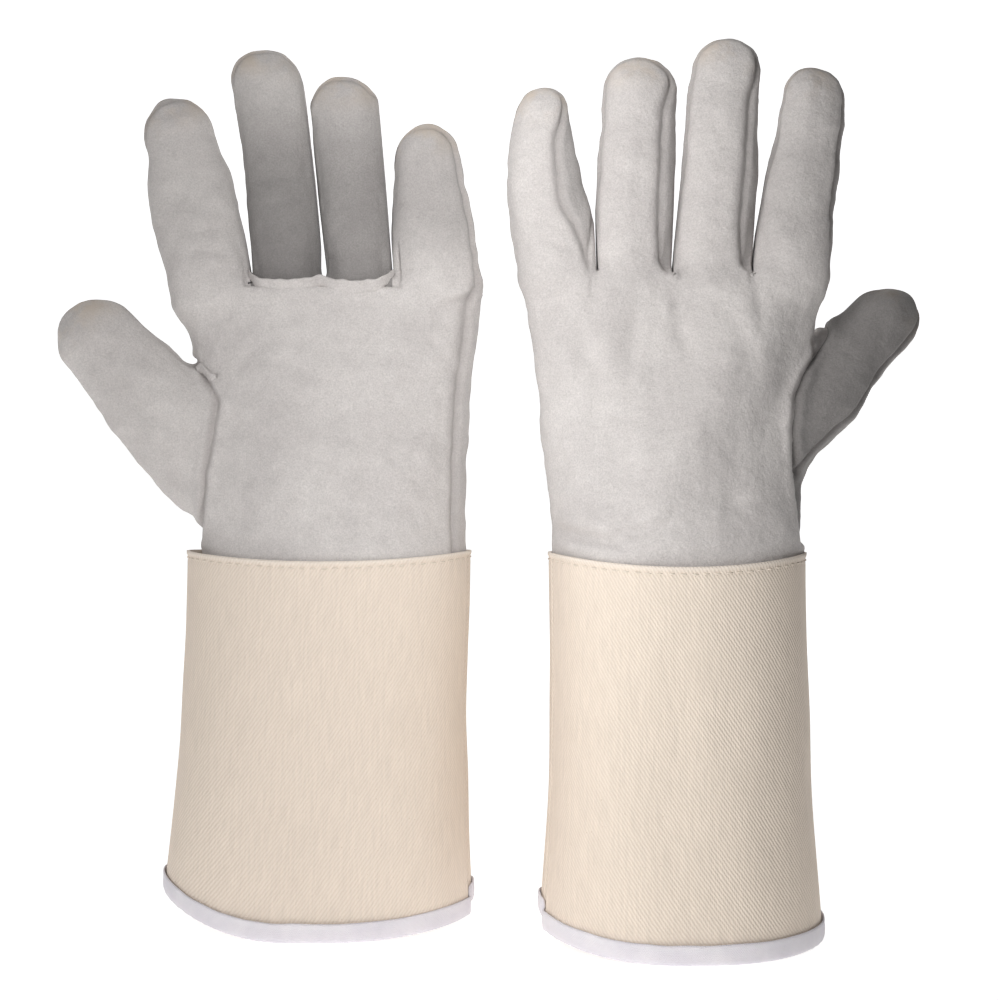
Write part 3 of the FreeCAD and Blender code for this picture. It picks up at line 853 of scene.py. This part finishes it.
def make_canvas(glove, cuff, materials):
    around, rows = 320, 130
    run = np.linspace(0, cuff.round, around, endpoint=False)
    share = np.linspace(0, 1, rows)
    run_grid, share_grid = np.meshgrid(run, share)
    outer, _ = cuff.surface(run_grid, share_grid)
    inner, _ = cuff.surface(run_grid, share_grid, out=-CANVAS)
    count = around * rows
    index = np.arange(count).reshape(rows, around)
    a, b = index[:-1], np.roll(index, -1, axis=1)[:-1]
    c, d = np.roll(index, -1, axis=1)[1:], index[1:]
    outside = np.stack((a, b, c, d), -1).reshape(-1, 4)
    inside = outside[:, ::-1] + count
    top, low = index[-1], index[0]
    lip = np.stack((top, np.roll(top, -1), np.roll(top, -1) + count, top + count), -1)
    foot = np.stack((np.roll(low, -1), low, low + count, np.roll(low, -1) + count), -1)
    points = np.vstack((outer.reshape(-1, 3), inner.reshape(-1, 3)))
    faces = np.vstack((outside, inside, lip, foot))
    height = share_grid * CUFF_TOP
    marks = {"run": np.tile(run_centred(run_grid, cuff.round).ravel() * glove.spec["twill"], 2),
             "height": np.tile(height.ravel(), 2),
             "below_top": np.tile(((1 - share_grid) * CUFF_TOP).ravel(), 2)}
    obj = make_object(f"{glove.name}_cuff_panel.canvas", points, faces, glove, attributes=marks)
    finish_piece(glove, obj, "cuff_panel", "canvas", "cuff", materials)
    return obj


def make_binding(glove, cuff, materials):
    """The hem tape, folded over the canvas's lower edge."""
    around = 360
    run = np.linspace(0, cuff.round, around, endpoint=False)
    profile = ((0.15, 7.7), (0.7, 7.5), (0.85, 6.6), (0.75, 5.9), (0.95, 4.5), (1.0, 2.5),
               (0.9, 0.8), (0.6, -0.2), (-0.2, -0.7), (-1.2, -0.6), (-1.8, 0.0), (-2.0, 1.2),
               (-1.95, 4.5), (-1.85, 6.9), (-1.3, 7.1),
               (-1.15, 6.6), (-1.15, 0.2), (0.02, 0.2), (0.02, 7.4))
    rings = []
    for out, up in profile:
        base, away = cuff.surface(run, np.zeros(around))
        level = base + np.array((0, 0, 1.0)) * up
        wobble = 0.12 * np.sin(run * 1.1) * (out > 0.5) + 0.2 * waves(base, 77, 14.0) * (up > 5)
        level[:, 2] += wobble
        rings.append(level + away * out)
    points = np.stack(rings, 1)
    size = points.shape[1]
    index = np.arange(around * size).reshape(around, size)
    there = np.roll(index, -1, axis=0)
    marks = {"run": np.repeat(run, size), "height": np.tile([p[1] for p in profile], around)}
    obj = make_object(f"{glove.name}_cuff_hem_binding.tape", points.reshape(-1, 3),
                      tube(index, there), glove, attributes=marks)
    finish_piece(glove, obj, "cuff_hem_binding", "hem_tape", "cuff", materials)
    return obj


def make_stitches(glove, cuff, materials):
    """A row of separate stitches just below the turned top edge."""
    pitch, length, radius, below = 5.0, 3.7, 0.45, 3.1
    count = round(cuff.round / pitch)
    rng = np.random.default_rng(glove.spec["seed"] + 30)
    points, faces = [], []
    steps, around, canvas_height = 7, 6, 160.0
    for number in range(count):
        start = (number + rng.uniform(-0.06, 0.06)) * cuff.round / count
        span = length * rng.uniform(0.92, 1.06)
        run = start + np.linspace(-0.5, 0.5, steps) * span
        share = 1 - below / canvas_height + rng.uniform(-0.15, 0.15) / canvas_height
        path, away = cuff.surface(run, np.full(steps, share))
        arch = np.sin(np.linspace(0, np.pi, steps))
        path = path + away * (0.55 * arch - 0.25)[:, None]
        size = radius * (0.45 + 0.55 * arch)
        base = number * steps * around
        for place, normal, thick in zip(path, away, size):
            turn = np.linspace(0, TAU, around, endpoint=False)[:, None]
            points.append(place + thick * (np.cos(turn) * normal + np.sin(turn) * (0, 0, 1)))
        index = base + np.arange(steps * around).reshape(steps, around)
        faces.append(tube(index[:-1], index[1:]))
        for ring, order in ((index[0], -1), (index[-1], 1)):
            r = ring[::order]
            faces.append(np.array([(r[0], r[1], r[2], r[3]), (r[0], r[3], r[4], r[5])]))
    obj = make_object(f"{glove.name}_cuff_top_stitching.thread", np.vstack(points),
                      np.vstack(faces), glove)
    finish_piece(glove, obj, "cuff_top_stitching", "thread", "cuff", materials)
    return obj


def make_side_seam(glove, cuff, materials):
    """The seam's pressed-open allowance, inside the little-finger side of the cuff."""
    rows = 80
    share = np.linspace(0.09, 0.97, rows)
    seam = glove.spec["seam_run"]
    profile = []
    for across in np.linspace(-9, 9, 13):
        profile.append((across, -CANVAS - 0.15 - 0.25 * (abs(across) < 1)))
    for across in np.linspace(9, -9, 13):
        profile.append((across, -2 * CANVAS - 0.1))
    rings = []
    for across, out in profile:
        ring, _ = cuff.surface(np.full(rows, seam + across), share, out=out)
        rings.append(ring)
    points = np.stack(rings, 1)
    size = points.shape[1]
    index = np.arange(rows * size).reshape(rows, size)
    quads = tube(index[:-1], index[1:])
    marks = {"run": np.tile([p[0] for p in profile], rows),
             "height": np.repeat(share * CUFF_TOP, size),
             "below_top": np.full(rows * size, FAR_BELOW)}
    half = size // 2
    caps = []
    for row, flip in ((index[0], False), (index[-1], True)):
        for k in range(half - 1):
            quad = (row[k], row[k + 1], row[size - 2 - k], row[size - 1 - k])
            caps.append(quad if flip else quad[::-1])
    obj = make_object(f"{glove.name}_cuff_side_seam.canvas", points.reshape(-1, 3),
                      np.vstack((quads, np.array(caps))), glove, attributes=marks)
    finish_piece(glove, obj, "cuff_side_seam", "canvas", "cuff", materials)
    return obj


# Materials ------------------------------------------------------------------------------

class Nodes:
    """A small helper that wires one material."""

    def __init__(self, name, roughness, sheen=0.0):
        self.material = bpy.data.materials.new(name)
        self.material.use_nodes = True
        self.tree = self.material.node_tree
        self.shader = self.tree.nodes["Principled BSDF"]
        self.shader.inputs["Roughness"].default_value = roughness
        self.shader.inputs["Sheen Weight"].default_value = sheen
        self.shader.inputs["Sheen Roughness"].default_value = 0.6
        self.shader.inputs["Specular IOR Level"].default_value = 0.18

    def add(self, kind, inputs=None, **settings):
        node = self.tree.nodes.new(kind)
        for key, value in settings.items():
            setattr(node, key, value)
        for key, value in (inputs or {}).items():
            self.put(node.inputs[key], value)
        return node.outputs[0]

    def put(self, socket, value):
        if isinstance(value, bpy.types.NodeSocket):
            self.tree.links.new(value, socket)
        else:
            socket.default_value = value

    def attribute(self, name):
        node = self.tree.nodes.new("ShaderNodeAttribute")
        node.attribute_name = name
        return node.outputs["Fac"]

    def place(self):
        node = self.tree.nodes.new("ShaderNodeTexCoord")
        return node.outputs["Object"]

    def math(self, operation, *values):
        return self.add("ShaderNodeMath", dict(enumerate(values)), operation=operation)

    def noise(self, scale, detail=4.0, roughness=0.6, vector=None):
        return self.add("ShaderNodeTexNoise",
                        {"Vector": vector or self.place(), "Scale": scale, "Detail": detail,
                         "Roughness": roughness})

    def spread(self, value, low, high, new_low=0.0, new_high=1.0):
        return self.add("ShaderNodeMapRange", {"Value": value, "From Min": low, "From Max": high,
                                               "To Min": new_low, "To Max": new_high})

    def mix(self, share, a, b, blend="MIX"):
        node = self.tree.nodes.new("ShaderNodeMix")
        node.data_type = "RGBA"
        node.blend_type = blend
        for index, value in ((0, share), (6, a), (7, b)):
            self.put(node.inputs[index], value)
        return node.outputs[2]

    def dim(self, colour, value):
        """The colour with all three channels multiplied by a value."""
        factor = self.add("ShaderNodeCombineColor", {"Red": value, "Green": value, "Blue": value})
        return self.mix(1.0, colour, factor, "MULTIPLY")

    def bump(self, height, strength, distance, normal=None):
        inputs = {"Height": height, "Strength": strength, "Distance": distance}
        if normal is not None:
            inputs["Normal"] = normal
        return self.add("ShaderNodeBump", inputs)

    def finish(self, colour, normal):
        self.put(self.shader.inputs["Base Color"], colour)
        self.put(self.shader.inputs["Normal"], normal)
        return self.material


def suede_material():
    n = Nodes("suede", 0.92, sheen=0.18)
    pale, dull = (0.64, 0.605, 0.585, 1), (0.565, 0.53, 0.515, 1)
    mottle = n.spread(n.noise(26.0, 6.0, 0.65), 0.36, 0.64)
    colour = n.mix(mottle, dull, pale)
    patch = n.spread(n.noise(130.0, 5.0, 0.7), 0.35, 0.65, 0.96, 1.02)
    colour = n.dim(colour, patch)
    fleck = n.spread(n.noise(1500.0, 2.0, 0.6), 0.3, 0.7, 0.86, 1.1)
    colour = n.dim(colour, fleck)
    blotch = n.spread(n.noise(70.0, 4.0), 0.4, 0.62, 0.0, 0.75)
    stain = n.math("MULTIPLY", n.attribute("tip"), blotch)
    colour = n.mix(stain, colour, (0.62, 0.52, 0.42, 1))
    colour = n.mix(n.math("MULTIPLY", n.attribute("seam"), 0.4), colour, (0.33, 0.30, 0.29, 1))
    # Painted shade: the colour is multiplied by the per-piece shade factor, which darkens digits
    # that sit in shade.
    colour = n.dim(colour, n.attribute("tone"))
    nap = n.bump(n.noise(2300.0, 3.0, 0.7), 0.35, 0.0004)
    pores = n.bump(n.noise(620.0, 4.0, 0.6), 0.6, 0.0006, nap)
    return n.finish(colour, n.bump(n.noise(170.0, 4.0, 0.55), 0.5, 0.0012, pores))


def canvas_material():
    """Unbleached cotton twill: fine diagonal ridges with scattered darker flecks."""
    n = Nodes("canvas", 0.95, sheen=0.05)
    run, height = n.attribute("run"), n.attribute("height")
    vector = n.add("ShaderNodeCombineXYZ", {"X": run, "Y": height})
    drift = n.math("MULTIPLY", n.math("SUBTRACT", n.noise(0.35, 3.0, vector=vector), 0.5), 2.6)
    diagonal = n.math("ADD", n.math("MULTIPLY", run, 0.86), n.math("MULTIPLY", height, -0.56))
    diagonal = n.math("ADD", diagonal, n.math("MULTIPLY", drift, 0.35))
    ridge = n.math("SINE", n.math("MULTIPLY", diagonal, TAU / 1.4))
    ridge = n.math("MULTIPLY", n.math("ADD", ridge, 1.0), 0.5)
    yarn = n.math("SINE", n.math("MULTIPLY", run, TAU / 0.75))
    weave = n.math("ADD", ridge, n.math("MULTIPLY", yarn, 0.18))
    cream, shade = (0.80, 0.70, 0.605, 1), (0.73, 0.62, 0.52, 1)
    colour = n.mix(n.spread(ridge, 0.0, 0.7), shade, cream)
    streak = n.add("ShaderNodeMapping", {"Vector": vector, "Scale": (0.9, 0.06, 1.0)})
    slub = n.spread(n.noise(1.0, 4.0, 0.6, vector=streak), 0.35, 0.65, 0.95, 1.04)
    colour = n.dim(colour, slub)
    fleck = n.spread(n.noise(0.9, 2.0, 0.5, vector=vector), 0.70, 0.78)
    colour = n.mix(n.math("MULTIPLY", fleck, 0.5), colour, (0.45, 0.32, 0.2, 1))
    lip = n.spread(n.attribute("below_top"), 0.6, 2.4, 0.45, 0.0)
    colour = n.mix(lip, colour, (0.9, 0.83, 0.75, 1))
    cloth = n.bump(weave, 0.42, 0.0003)
    return n.finish(colour, n.bump(n.noise(90.0, 3.0), 0.25, 0.0012, cloth))


def tape_material():
    n = Nodes("hem_tape", 0.9, sheen=0.1)
    run, height = n.attribute("run"), n.attribute("height")
    across = n.math("SINE", n.math("MULTIPLY", run, TAU / 0.9))
    along = n.math("SINE", n.math("MULTIPLY", height, TAU / 1.1))
    weave = n.math("MULTIPLY", across, along)
    tone = n.spread(n.noise(60.0, 4.0), 0.3, 0.7)
    colour = n.mix(tone, (0.70, 0.67, 0.72, 1), (0.80, 0.77, 0.80, 1))
    return n.finish(colour, n.bump(weave, 0.4, 0.0002))


def thread_material():
    n = Nodes("thread", 0.7)
    twist = n.noise(1500.0, 2.0)
    colour = n.mix(n.spread(twist, 0.3, 0.7), (0.62, 0.53, 0.44, 1), (0.80, 0.72, 0.63, 1))
    return n.finish(colour, n.bump(twist, 0.5, 0.0003))


# The two gloves -------------------------------------------------------------------------

FINGER_DEPTH = ((0, 13.3), (25, 12.8), (60, 11.6), (90, 10.4))
THUMB_DEPTH = ((-60, 13), (-30, 15), (0, 13.6), (25, 12.2), (41, 10.8))
# palm: height, left edge, right edge, half depth.  width, depth, sway, bow: distance up, value.
# seams: height of the seam in the digit's depth, on its thumb side and its little-finger side.
# creases: start and end in X and Z, depth, width; a ridge has a negative depth.
# the digits' shade factors: painted shade on a digit's front or back, as a factor on plain suede's
# colour.
SPECS = {
    "glove_a": dict(
        seed=3, shown=-1, twill=1.0, cuff_top=(127.0, 67.0), hem_rise=(16.0, 5.0), top_dip=4.0,
        hem_shift=-5.0, thumb_rise=1.2,
        seam_run=-9.0, back_top=281.0, crotch=(289.0, 287.0, 289.0),
        side_seam=(0.15, -0.5), thumb_seam=-0.1,
        # Painted shade: factors that darken the suede of digits lying in shade.
        painted_shades={"middle_front": 0.42, "ring_front": 0.5, "index_front": 0.88, "little_front": 0.75},
        palm=((150, -57.4, 61.4, 32.0), (166, -56.5, 61.8, 31.7), (180, -57.5, 61.3, 29),
              (195, -59, 61.5, 27.5), (211, -58, 62, 26), (242, -57, 64, 21),
              (262, -62, 67, 17.5), (285, -70, 69, 14.2), (300, -71, 69, 13.5)),
        fingers=dict(
            index=dict(root=(-53.4, 0, 289), tip=(-70.7, 0, 367), length=80, cap=15.0,
                       width=((0, 18.6), (13, 19.4), (37, 19), (60, 15.7), (80, 14.2)),
                       depth=FINGER_DEPTH, sway=((0, 0), (35, -0.8), (80, 0)),
                       bow=((0, 0), (40, 0.5), (80, -2.0))),
            middle=dict(root=(-19, 0, 289), tip=(-30.3, 0, 388), length=99.5, cap=14.0,
                        width=((0, 15.3), (20, 16), (76, 16), (90, 15.2)),
                        depth=FINGER_DEPTH, sway=((0, 0), (41, 3.2), (74, 3.0), (99, 0)),
                        bow=((0, 0.5), (40, 0.5), (99, -9.0))),
            ring=dict(root=(14, 0, 289), tip=(7, 0, 372), length=86.5, cap=13.5,
                      width=((0, 14.9), (35, 16), (58, 16), (79, 15.2)),
                      depth=FINGER_DEPTH, bow=((0, 0.5), (40, 0.3), (86, -9.0))),
            little=dict(root=(47.4, 0, 294), tip=(43.8, 0, 347), length=61.5, cap=13.0,
                        width=((-8, 19.5), (0, 19.5), (18, 18.5), (31, 16.2), (52, 13.8)),
                        depth=FINGER_DEPTH, bow=((0, 0), (30, -1.0), (61, -5.0)))),
        seams=dict(
            index=(((0, 0.2), (50, 0.0), (66, -0.45), (80, -0.6)),
                   ((0, 0.3), (60, 0.2), (80, -0.3))),
            middle=(((0, 0.2), (70, 0.1), (90, -0.35), (99, -0.5)),
                    ((0, 0.2), (80, 0.1), (99, -0.3))),
            ring=(((0, 0.2), (60, 0.1), (80, -0.4)), ((0, 0.2), (60, 0.1), (80, -0.4))),
            little=(((0, 0.2), (40, 0.1), (58, -0.4)), ((0, -0.5), (30, -0.5), (61, -0.6)))),
        thumb=dict(root=(-87.3, -3, 242), tip=(-114, -6, 273), length=41.5, cap=16.0, tail=13.0,
                   low=56.0,
                   width=((-60, 22), (-30, 24), (-8, 21.5), (10, 19.5), (30, 17.6), (41, 15.5)),
                   depth=THUMB_DEPTH, power=2.2),
        thumb_edge=Line((166, -60), (176, -56.5), (184, -54.5), (200, -53.8), (217, -50.5),
                        (233, -48.5), (244, -55), (251, -60), (262, -66), soft=3.0),
        welt=((-35.5, 291.5), (-33.5, 288.0), (-30, 285.6), (-19, 284.6), (-8, 285.4),
              (-3, 287.4), (2, 285.2), (13, 284.0), (23, 285.4), (27.5, 288.5), (29.5, 291.5)),
        web=((-58.5, 246.5), (-49.0, 243.0)),
        palm_creases=(((49, 272), (68, 281), 1.3, 2.2), ((52, 281), (69, 287), 0.8, 1.8),
                      ((-62, 306), (-36, 312), 0.6, 2.4), ((-64, 300), (-38, 297), 0.7, 2.6),
                      ((-30, 318), (-8, 324), 0.7, 2.2), ((-33, 330), (-8, 333), 0.6, 2.2),
                      ((0, 318), (26, 322), 0.5, 2.0), ((-50, 232), (-30, 214), 0.8, 4.0),
                      ((-46, 244), (-22, 262), 0.7, 4.0), ((-52, 196), (-34, 180), 0.9, 3.5),
                      ((56, 250), (58, 222), 0.9, 4.0), ((-92, 236), (-70, 222), 0.6, 3.5),
                      ((-58, 172), (-20, 168), 0.8, 2.5), ((64, 262), (48, 240), 0.7, 3.0)),
        back_creases=(((-50, 180), (20, 176), 1.2, 3.0), ((10, 190), (58, 182), 1.0, 3.0),
                      ((-36, 276), (-24, 244), 0.8, 3.5), ((0, 276), (-4, 246), 0.7, 3.5),
                      ((30, 276), (26, 248), 0.8, 3.5), ((-66, 330), (-46, 326), 0.6, 2.2),
                      ((-32, 340), (-8, 338), 0.6, 2.2), ((0, 332), (24, 330), 0.6, 2.2))),
    "glove_b": dict(
        seed=17, shown=1, twill=-1.0, cuff_top=(111.0, 86.0), hem_rise=(2.0, 6.0), top_dip=5.0,
        hem_shift=-1.5, thumb_rise=3.0,
        seam_run=13.0, back_top=280.0, crotch=(286.0, 286.0, 286.5),
        side_seam=(0.1, -0.5), thumb_seam=0.0,
        # Painted shade: factors that darken the suede of digits lying in shade.
        painted_shades={"thumb_front": 0.5, "thumb_back": 0.42, "index_back": 0.88, "index_front": 0.7,
               "middle_front": 0.8, "ring_front": 0.85, "little_front": 0.85},
        palm=((150, -53.6, 53.6, 40.6), (166, -54, 53.7, 40), (188, -53.3, 55.3, 35),
              (210, -54.2, 57.5, 29), (232, -55, 59.7, 24), (253, -57, 62.3, 19),
              (279, -64, 65.5, 15), (300, -65, 66, 13.5)),
        fingers=dict(
            index=dict(root=(-48.9, 0, 292), tip=(-60.2, 0, 370), length=84, cap=13.0,
                       width=((0, 16.6), (31, 15.6), (54, 13.9), (69, 13.0)),
                       depth=FINGER_DEPTH, bow=((0, 0), (40, 1.0), (84, -2.0))),
            middle=dict(root=(-15.1, 0, 288), tip=(-23.4, 0, 388.5), length=101, cap=14.0,
                        width=((0, 17.2), (31, 16.6), (70, 15.5), (92, 14.2)),
                        depth=FINGER_DEPTH, bow=((0, 0), (50, 1.2), (101, -3.0))),
            ring=dict(root=(19.5, 0, 288), tip=(15, 0, 379), length=92.5, cap=13.5,
                      width=((0, 17.2), (31, 16.9), (72, 15.5), (92, 14.5)),
                      depth=FINGER_DEPTH, bow=((0, 0), (45, 1.0), (92, -3.0))),
            little=dict(root=(51, 0, 295), tip=(59.5, 0, 362), length=72, cap=12.0,
                        width=((0, 17.6), (12, 17.8), (35, 15.6), (52, 13.0), (65, 11.0)),
                        depth=FINGER_DEPTH, sway=((0, 0), (28, 2.4), (45, 2.2), (72, -1.6)),
                        bow=((0, 0), (35, 0.5), (72, -2.5)))),
        seams=dict(
            index=(((0, 0.45), (60, 0.5), (84, 0.35)), ((0, 0.25), (60, 0.25), (84, 0.3))),
            middle=(((0, 0.7), (20, 0.83), (75, 0.8), (101, 0.35)),
                    ((0, 0.3), (60, 0.3), (101, 0.3))),
            ring=(((0, 0.7), (20, 0.83), (70, 0.8), (92, 0.35)),
                  ((0, 0.3), (60, 0.3), (92, 0.3))),
            little=(((0, 0.8), (18, 0.97), (50, 0.9), (72, 0.35)),
                    ((0, -0.3), (40, -0.2), (72, 0.2)))),
        thumb=dict(root=(-73.5, -10, 250), tip=(-103, -16, 279), length=41.0, cap=14.0, tail=13.0,
                   low=42.0, twist=-35.0,
                   width=((-55, 15), (-20, 20), (0, 18.7), (22, 15.9), (33, 14.5)),
                   depth=THUMB_DEPTH, sway=((-50, -6), (-20, -4), (0, 0), (35, -1)), power=2.2),
        thumb_edge=Line((166, -54), (176, -52.5), (200, -51), (217, -49), (233, -50),
                        (244, -55), (251, -60), (262, -66), soft=3.0),
        welt=((-34.0, 291.0), (-32.0, 287.5), (-28, 285.0), (-15, 284.2), (-3, 285.4),
              (2, 287.2), (7, 285.2), (19, 284.0), (31, 285.4), (35.0, 288.5), (36.5, 291.0)),
        web=((-56.0, 255.5), (-49.0, 251.0)),
        palm_creases=(((49, 272), (66, 281), 1.3, 2.2), ((-50, 232), (-30, 214), 0.8, 4.0),
                      ((-46, 244), (-22, 262), 0.7, 4.0), ((-50, 196), (-30, 180), 0.9, 3.5),
                      ((-12, 328), (12, 326), 0.6, 2.2), ((-40, 330), (-62, 328), 0.6, 2.2)),
        back_creases=(((-50, 286), (24, 172), -5.0, 16.0), ((58, 177), (24, 169), 2.2, 2.4),
                      ((34, 172), (4, 178), 1.4, 2.6),
                      ((36, 280), (38, 262), 0.9, 3.0), ((-33, 280), (-34, 258), 1.0, 3.2),
                      ((2, 280), (-2, 250), 0.8, 3.2), ((-22, 270), (-30, 238), 0.8, 4.0),
                      ((18, 268), (24, 236), 0.7, 4.0), ((46, 268), (36, 240), 0.8, 4.0),
                      ((-50, 262), (-40, 224), 0.9, 4.5), ((60, 300), (44, 296), 0.5, 2.0),
                      ((-30, 190), (8, 182), 0.7, 3.5), ((56, 215), (46, 190), 0.8, 3.5))),
}


def make_glove(name, materials):
    glove = Glove(name, SPECS[name])
    make_leather(glove, materials)
    make_welt(glove, materials)
    make_web_tab(glove, materials)
    cuff = Cuff(glove)
    canvas = make_canvas(glove, cuff, materials)
    tape = make_binding(glove, cuff, materials)
    stitches = make_stitches(glove, cuff, materials)
    seam = make_side_seam(glove, cuff, materials)


MATERIALS = {"suede": suede_material(), "canvas": canvas_material(),
             "hem_tape": tape_material(), "thread": thread_material()}
for glove_name in SPECS:
    make_glove(glove_name, MATERIALS)


# Studio ---------------------------------------------------------------------------------

def make_backdrop():
    """A pale floor that curves up into a wall behind the gloves."""
    bend, back, front, half, top = 0.7, 1.6, -3.0, 4.0, 3.5
    line = [(front, 0.0), (back, 0.0)]
    steps = 12
    for step in range(1, steps + 1):
        turn = math.pi / 2 * step / steps
        line.append((back + bend * math.sin(turn), bend * (1 - math.cos(turn))))
    line.append((back + bend, top))
    points = [(side * half, y, z) for y, z in line for side in (-1, 1)]
    faces = [(2 * i, 2 * i + 1, 2 * i + 3, 2 * i + 2) for i in range(len(line) - 1)]
    obj = make_object("floor", np.array(points) / MM, np.array(faces))
    material = bpy.data.materials.new("floor")
    material.use_nodes = True
    shader = material.node_tree.nodes["Principled BSDF"]
    shader.inputs["Base Color"].default_value = (0.9, 0.9, 0.9, 1)
    shader.inputs["Roughness"].default_value = 0.9
    shader.inputs["Emission Color"].default_value = (1, 1, 1, 1)
    tree = material.node_tree
    place = tree.nodes.new("ShaderNodeNewGeometry")
    axes = tree.nodes.new("ShaderNodeSeparateXYZ")
    glow = tree.nodes.new("ShaderNodeMapRange")
    for key, value in (("From Min", -0.6), ("From Max", 0.0), ("To Min", 0.03), ("To Max", 0.72)):
        glow.inputs[key].default_value = value
    tree.links.new(place.outputs["Position"], axes.inputs[0])
    tree.links.new(axes.outputs["Y"], glow.inputs["Value"])
    tree.links.new(glow.outputs[0], shader.inputs["Emission Strength"])
    obj.data.materials.append(material)


def make_light(name, place, towards, size, power):
    light = bpy.data.lights.new(name, "AREA")
    light.shape = "RECTANGLE"
    light.size, light.size_y = size
    light.energy = power
    obj = bpy.data.objects.new(name, light)
    obj.location = place
    direction = Vector(towards) - Vector(place)
    obj.rotation_euler = direction.to_track_quat("-Z", "Y").to_euler()
    obj.visible_camera = False
    bpy.context.scene.collection.objects.link(obj)


make_backdrop()
make_light("middle_strip", (0.0, -0.19, 0.3), (0.0, 0.2, 0.2), (0.05, 0.5), 0.5)
make_light("wide_left", (-1.5, -1.3, 0.6), (0, 0, 0.2), (0.8, 0.8), 9.0)
make_light("overhead", (0.0, 0.2, 2.2), (0, 0, 0), (2.4, 2.0), 4.0)
world = bpy.data.worlds.new("studio")
world.use_nodes = True
world.node_tree.nodes["Background"].inputs["Color"].default_value = (1, 1, 1, 1)
world.node_tree.nodes["Background"].inputs["Strength"].default_value = 0.1
bpy.context.scene.world = world
bpy.context.scene.view_settings.view_transform = "Standard"

camera_data = bpy.data.cameras.new("camera")
camera_data.lens = 66.5
camera_data.sensor_width = 36.0
camera = bpy.data.objects.new("camera", camera_data)
camera.location = (0.0036, -0.810, 0.1884)
camera.rotation_euler = (math.pi / 2, 0, 0)
bpy.context.scene.collection.objects.link(camera)
bpy.context.scene.camera = camera
